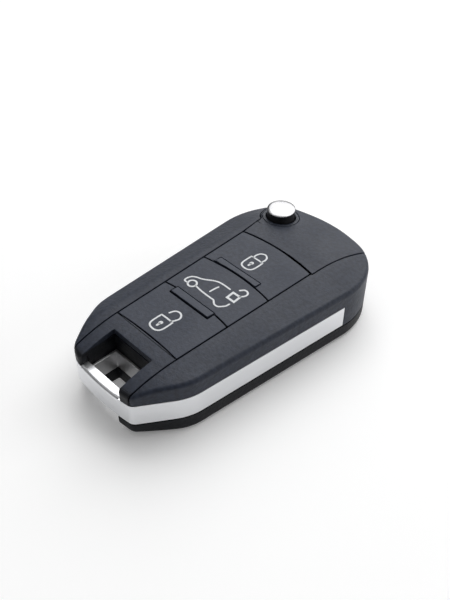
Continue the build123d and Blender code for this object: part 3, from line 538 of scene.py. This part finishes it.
def set_sky(strength):
    """Even white light from all round."""
    world = bpy.data.worlds.new("studio")
    bpy.context.scene.world = world
    world.use_nodes = True
    sky = world.node_tree.nodes["Background"]
    sky.inputs["Color"].default_value = (1, 1, 1, 1)
    sky.inputs["Strength"].default_value = strength


def place_camera(lens):
    """Camera at the photograph's angle."""
    back = Vector(CAMERA_BACKWARDS).normalized()
    right = Vector(CAMERA_RIGHT).normalized()
    turn = Matrix((right, back.cross(right), back)).transposed()
    camera = bpy.data.objects.new("camera", bpy.data.cameras.new("camera"))
    bpy.context.scene.collection.objects.link(camera)
    camera.matrix_world = Matrix.Translation(Vector(CAMERA_PLACE)) @ turn.to_4x4()
    camera.data.sensor_fit = "VERTICAL"
    camera.data.sensor_height = SENSOR_HEIGHT
    camera.data.lens = lens
    camera.data.clip_start = 0.001
    bpy.context.scene.camera = camera


# Settings

class FobFinishSettings(bpy.types.PropertyGroup):
    """Colours and fine sizes of the fob's finishes."""

    case_colour: bpy.props.FloatVectorProperty(
        name="Case colour", description="Dark slate plastic of the upper housing and the buttons",
        default=(0.0255, 0.0315, 0.0485), size=3, subtype="COLOR", min=0, max=1)
    lower_colour: bpy.props.FloatVectorProperty(
        name="Lower case colour", description="Plastic of the lower housing",
        default=(0.009, 0.010, 0.013), size=3, subtype="COLOR", min=0, max=1)
    inner_colour: bpy.props.FloatVectorProperty(
        name="Inner colour", description="Smooth plastic of the pieces inside",
        default=(0.03, 0.03, 0.033), size=3, subtype="COLOR", min=0, max=1)
    rubber_colour: bpy.props.FloatVectorProperty(
        name="Rubber colour", description="Rubber of the switch mat",
        default=(0.05, 0.05, 0.055), size=3, subtype="COLOR", min=0, max=1)
    silver_colour: bpy.props.FloatVectorProperty(
        name="Silver colour", description="Satin silver of the trim band",
        default=(0.77, 0.78, 0.80), size=3, subtype="COLOR", min=0, max=1)
    chrome_colour: bpy.props.FloatVectorProperty(
        name="Chrome colour", description="Polished chrome of the release button",
        default=(0.41, 0.41, 0.42), size=3, subtype="COLOR", min=0, max=1)
    liner_colour: bpy.props.FloatVectorProperty(
        name="Liner colour", description="Satin chrome of the keyring window's liner",
        default=(0.60, 0.60, 0.61), size=3, subtype="COLOR", min=0, max=1)
    steel_colour: bpy.props.FloatVectorProperty(
        name="Steel colour", description="Nickel plated steel of the blade",
        default=(0.62, 0.61, 0.59), size=3, subtype="COLOR", min=0, max=1)
    zinc_colour: bpy.props.FloatVectorProperty(
        name="Zinc colour", description="Cast zinc of the blade's barrel",
        default=(0.36, 0.36, 0.37), size=3, subtype="COLOR", min=0, max=1)
    wire_colour: bpy.props.FloatVectorProperty(
        name="Wire colour", description="Drawn steel of the spring and the pin",
        default=(0.42, 0.42, 0.43), size=3, subtype="COLOR", min=0, max=1)
    brass_colour: bpy.props.FloatVectorProperty(
        name="Brass colour", description="Sheet brass of the cell contacts",
        default=(0.72, 0.56, 0.28), size=3, subtype="COLOR", min=0, max=1)
    print_colour: bpy.props.FloatVectorProperty(
        name="Print colour", description="Ink of the signs on the buttons",
        default=(0.82, 0.84, 0.86), size=3, subtype="COLOR", min=0, max=1)
    grain: bpy.props.FloatProperty(
        name="Grain", description="Width of one grain of the plastic's texture",
        default=0.0009, unit="LENGTH", min=0.00005, max=0.002, precision=5)
    grain_depth: bpy.props.FloatProperty(
        name="Grain depth", description="Depth of that texture",
        default=0.00009, unit="LENGTH", min=0, max=0.0002, precision=6)
    edge_round: bpy.props.FloatProperty(
        name="Edge round", description="Width of the small round on the edges of plastic and trim",
        default=0.00018, unit="LENGTH", min=0, max=0.0005, precision=5)
    print_width: bpy.props.FloatProperty(
        name="Print width", description="Width of the printed lines",
        default=0.00043, unit="LENGTH", min=0.0001, max=0.001, precision=5)
    print_film: bpy.props.FloatProperty(
        name="Print film", description="How far the ink stands over the button",
        default=0.00002, unit="LENGTH", min=0.000005, max=0.0001, precision=6)


class FobStageSettings(bpy.types.PropertyGroup):
    """Floor, light and camera."""

    floor_colour: bpy.props.FloatVectorProperty(
        name="Floor colour", description="Pale floor under the fob",
        default=(0.97, 0.97, 0.97), size=3, subtype="COLOR", min=0, max=1)
    floor_glow: bpy.props.FloatProperty(
        name="Floor glow", description="White added to the floor where it is seen, so that it looks white",
        default=0.16, min=0, max=1)
    main_power: bpy.props.FloatProperty(
        name="Main light", description="Power of the large light beyond the release button",
        default=19.5, unit="POWER", min=0, max=500)
    rim_power: bpy.props.FloatProperty(
        name="Rim light", description="Power of the low light that catches the trim band's side",
        default=2.1, unit="POWER", min=0, max=100)
    overhead_power: bpy.props.FloatProperty(
        name="Overhead light", description="Power of the large light over the fob",
        default=3.6, unit="POWER", min=0, max=100)
    sky: bpy.props.FloatProperty(
        name="Sky", description="Strength of the light from all round",
        default=0.12, min=0, max=2)
    lens: bpy.props.FloatProperty(
        name="Lens", description="Focal length of the camera", default=48.0, unit="CAMERA", min=10, max=300)


# Pieces

class FOB_OT_case(bpy.types.Operator):
    """Gives both housings and the fixed pieces of the flat strip their textured plastic"""

    bl_idname = "fob.case"
    bl_label = "Finish the case"

    def execute(self, context):
        s = context.scene.fob_finish
        case = moulded_plastic("slate plastic", s.case_colour, 0.47, s.grain, s.grain_depth)
        # painted shade on the keyring window's walls, below WINDOW_SHADE_TOP
        surround = moulded_plastic("surround plastic", s.case_colour, 0.47, s.grain, s.grain_depth,
                                   painted_shade_below=WINDOW_SHADE_TOP)
        lower = moulded_plastic("dark plastic", s.lower_colour, 0.47, s.grain, s.grain_depth, gloss=0.16)
        collar = moulded_plastic("collar plastic", s.case_colour, 0.42, s.grain, s.grain_depth / 2)
        finish_node("upper_housing", case, s.edge_round)
        finish_node("head_cap", case, s.edge_round)
        finish_node("keyring_surround", surround, s.edge_round)
        finish_node("lower_housing", lower, s.edge_round)
        finish_node("collar_ring", collar, s.edge_round)
        return {"FINISHED"}


class FOB_OT_buttons(bpy.types.Operator):
    """Gives the three buttons their textured plastic, a little lighter than the case"""

    bl_idname = "fob.buttons"
    bl_label = "Finish the buttons"

    def execute(self, context):
        s = context.scene.fob_finish
        # painted shade on the buttons' sides below SEAM_SHADE_TOP, for the shade in the seams
        plastic = moulded_plastic("button plastic", s.case_colour * BUTTON_LIGHTNESS, 0.45, s.grain,
                                  s.grain_depth * 0.8, painted_shade_below=SEAM_SHADE_TOP)
        for node in ("button_lock", "button_side_door", "button_unlock"):
            finish_node(node, plastic, s.edge_round)
        return {"FINISHED"}


class FOB_OT_trim(bpy.types.Operator):
    """Gives the trim band its satin silver and the release cap and the keyring liner their chrome"""

    bl_idname = "fob.trim"
    bl_label = "Finish the trim"

    def execute(self, context):
        s = context.scene.fob_finish
        silver = satin_silver("satin silver", s.silver_colour, 0.36)
        chrome = polished_chrome("chrome", s.chrome_colour, 0.24)
        liner = satin_silver("satin chrome", s.liner_colour, 0.40)
        finish_node("trim_band", silver, s.edge_round, held=True)
        finish_node("release_cap", chrome, s.edge_round)
        finish_node("keyring_liner", liner, s.edge_round, held=True)
        return {"FINISHED"}


class FOB_OT_blade(bpy.types.Operator):
    """Gives the blade, its barrel and its pin their metals"""

    bl_idname = "fob.blade"
    bl_label = "Finish the blade"

    def execute(self, context):
        s = context.scene.fob_finish
        steel = grained_steel("nickel plated steel", s.steel_colour, 0.28, along=(1, 30, 1), depth=0.000003)
        zinc = grained_steel("cast zinc", s.zinc_colour, 0.42, along=(1, 1, 1), depth=0.000006)
        pin = grained_steel("pin steel", s.wire_colour, 0.3, along=(2, 2, 1), depth=0.000002)
        finish_node("key_blade", steel, s.edge_round / 2)
        finish_node("blade_barrel", zinc, s.edge_round / 2)
        finish_node("blade_pin", pin, 0)
        return {"FINISHED"}


class FOB_OT_release(bpy.types.Operator):
    """Finishes the release button's plunger and winds its spring in place of the frame's spring"""

    bl_idname = "fob.release"
    bl_label = "Fit the release spring"

    def execute(self, context):
        s = context.scene.fob_finish
        plunger = moulded_plastic("plunger plastic", s.inner_colour, 0.35, s.grain, s.grain_depth / 4)
        finish_node("release_plunger", plunger, s.edge_round / 2)
        wire = grained_steel("spring wire", s.wire_colour, 0.3, along=(2, 2, 1), depth=0.000002)
        low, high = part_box("flip_spring")
        middle = [(low[way] + high[way]) / 2 for way in (0, 1)]
        radius = (high[0] - low[0] - SPRING_WIRE) / 2
        coil = wire_coil(middle, radius, low[2], high[2], SPRING_WIRE, SPRING_TURNS)
        spring = new_piece("release_spring", [(coil, False)], wire, "blade")
        spring.data.shade_smooth()
        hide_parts("flip_spring")
        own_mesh(spring)
        return {"FINISHED"}


class FOB_OT_inside(bpy.types.Operator):
    """Gives the switch mat, the board carrier and the cell contacts their finishes"""

    bl_idname = "fob.inside"
    bl_label = "Finish the inside"

    def execute(self, context):
        s = context.scene.fob_finish
        rubber = moulded_plastic("switch rubber", s.rubber_colour, 0.7, s.grain, s.grain_depth / 2, wear=0.1)
        inner = moulded_plastic("inner plastic", s.inner_colour, 0.4, s.grain, s.grain_depth / 3)
        brass = grained_steel("contact brass", s.brass_colour, 0.3, along=(20, 1, 1), depth=0.000002)
        finish_node("keypad_mat", rubber, 0)
        finish_node("board_carrier", inner, s.edge_round / 2, held=True)
        finish_node("cell_spring_contact", brass, 0)
        finish_node("cell_clip_contact", brass, 0)
        return {"FINISHED"}


class FOB_OT_signs(bpy.types.Operator):
    """Prints the open padlock, the van and the closed padlock on the three buttons"""

    bl_idname = "fob.signs"
    bl_label = "Print the signs"

    def execute(self, context):
        s = context.scene.fob_finish
        ink = printed_ink("white print", s.print_colour)
        signs = (("unlock_sign", padlock(UNLOCK_PLACE, OPEN_SHACKLE), "unlock"),
                 ("lock_sign", padlock(LOCK_PLACE, SHUT_SHACKLE), "lock"),
                 ("side_door_sign", van(), "side_door"))
        for name, strokes, body in signs:
            print_sign(name, strokes, body, ink, s.print_width, s.print_film)
        return {"FINISHED"}


class FOB_OT_stage(bpy.types.Operator):
    """Lays the pale floor, hangs the soft lights and places the camera at the photograph's angle"""

    bl_idname = "fob.stage"
    bl_label = "Set the stage"

    def execute(self, context):
        s = context.scene.fob_stage
        floor(pale_floor("pale floor", s.floor_colour, s.floor_glow))
        area_light("main light", MAIN_LIGHT_PLACE, MAIN_LIGHT_SIZE, s.main_power)
        area_light("rim light", RIM_LIGHT_PLACE, RIM_LIGHT_SIZE, s.rim_power)
        area_light("overhead light", OVERHEAD_LIGHT_PLACE, OVERHEAD_LIGHT_SIZE, s.overhead_power)
        set_sky(s.sky)
        place_camera(s.lens)
        context.scene.view_settings.view_transform = "Standard"
        return {"FINISHED"}


OPERATORS = (FOB_OT_case, FOB_OT_buttons, FOB_OT_trim, FOB_OT_blade, FOB_OT_release, FOB_OT_inside,
             FOB_OT_signs, FOB_OT_stage)


class FOB_PT_panel(bpy.types.Panel):
    """Lists the fob's steps and settings"""

    bl_idname = "FOB_PT_panel"
    bl_label = "Key fob"
    bl_space_type = "VIEW_3D"
    bl_region_type = "UI"
    bl_category = "Key fob"

    def draw(self, context):
        for group in (context.scene.fob_finish, context.scene.fob_stage):
            column = self.layout.column(align=True)
            for name in group.__annotations__:
                column.prop(group, name)
        column = self.layout.column(align=True)
        for operator in OPERATORS:
            column.operator(operator.bl_idname)


CLASSES = (FobFinishSettings, FobStageSettings, *OPERATORS, FOB_PT_panel)


def register():
    for part in CLASSES:
        bpy.utils.register_class(part)
    bpy.types.Scene.fob_finish = bpy.props.PointerProperty(type=FobFinishSettings)
    bpy.types.Scene.fob_stage = bpy.props.PointerProperty(type=FobStageSettings)


def unregister():
    del bpy.types.Scene.fob_stage
    del bpy.types.Scene.fob_finish
    for part in reversed(CLASSES):
        bpy.utils.unregister_class(part)


def main():
    register()
    bpy.ops.fob.case()
    bpy.ops.fob.buttons()
    bpy.ops.fob.trim()
    bpy.ops.fob.blade()
    bpy.ops.fob.release()
    bpy.ops.fob.inside()
    bpy.ops.fob.signs()
    bpy.ops.fob.stage()


if __name__ == "__main__":
    main()
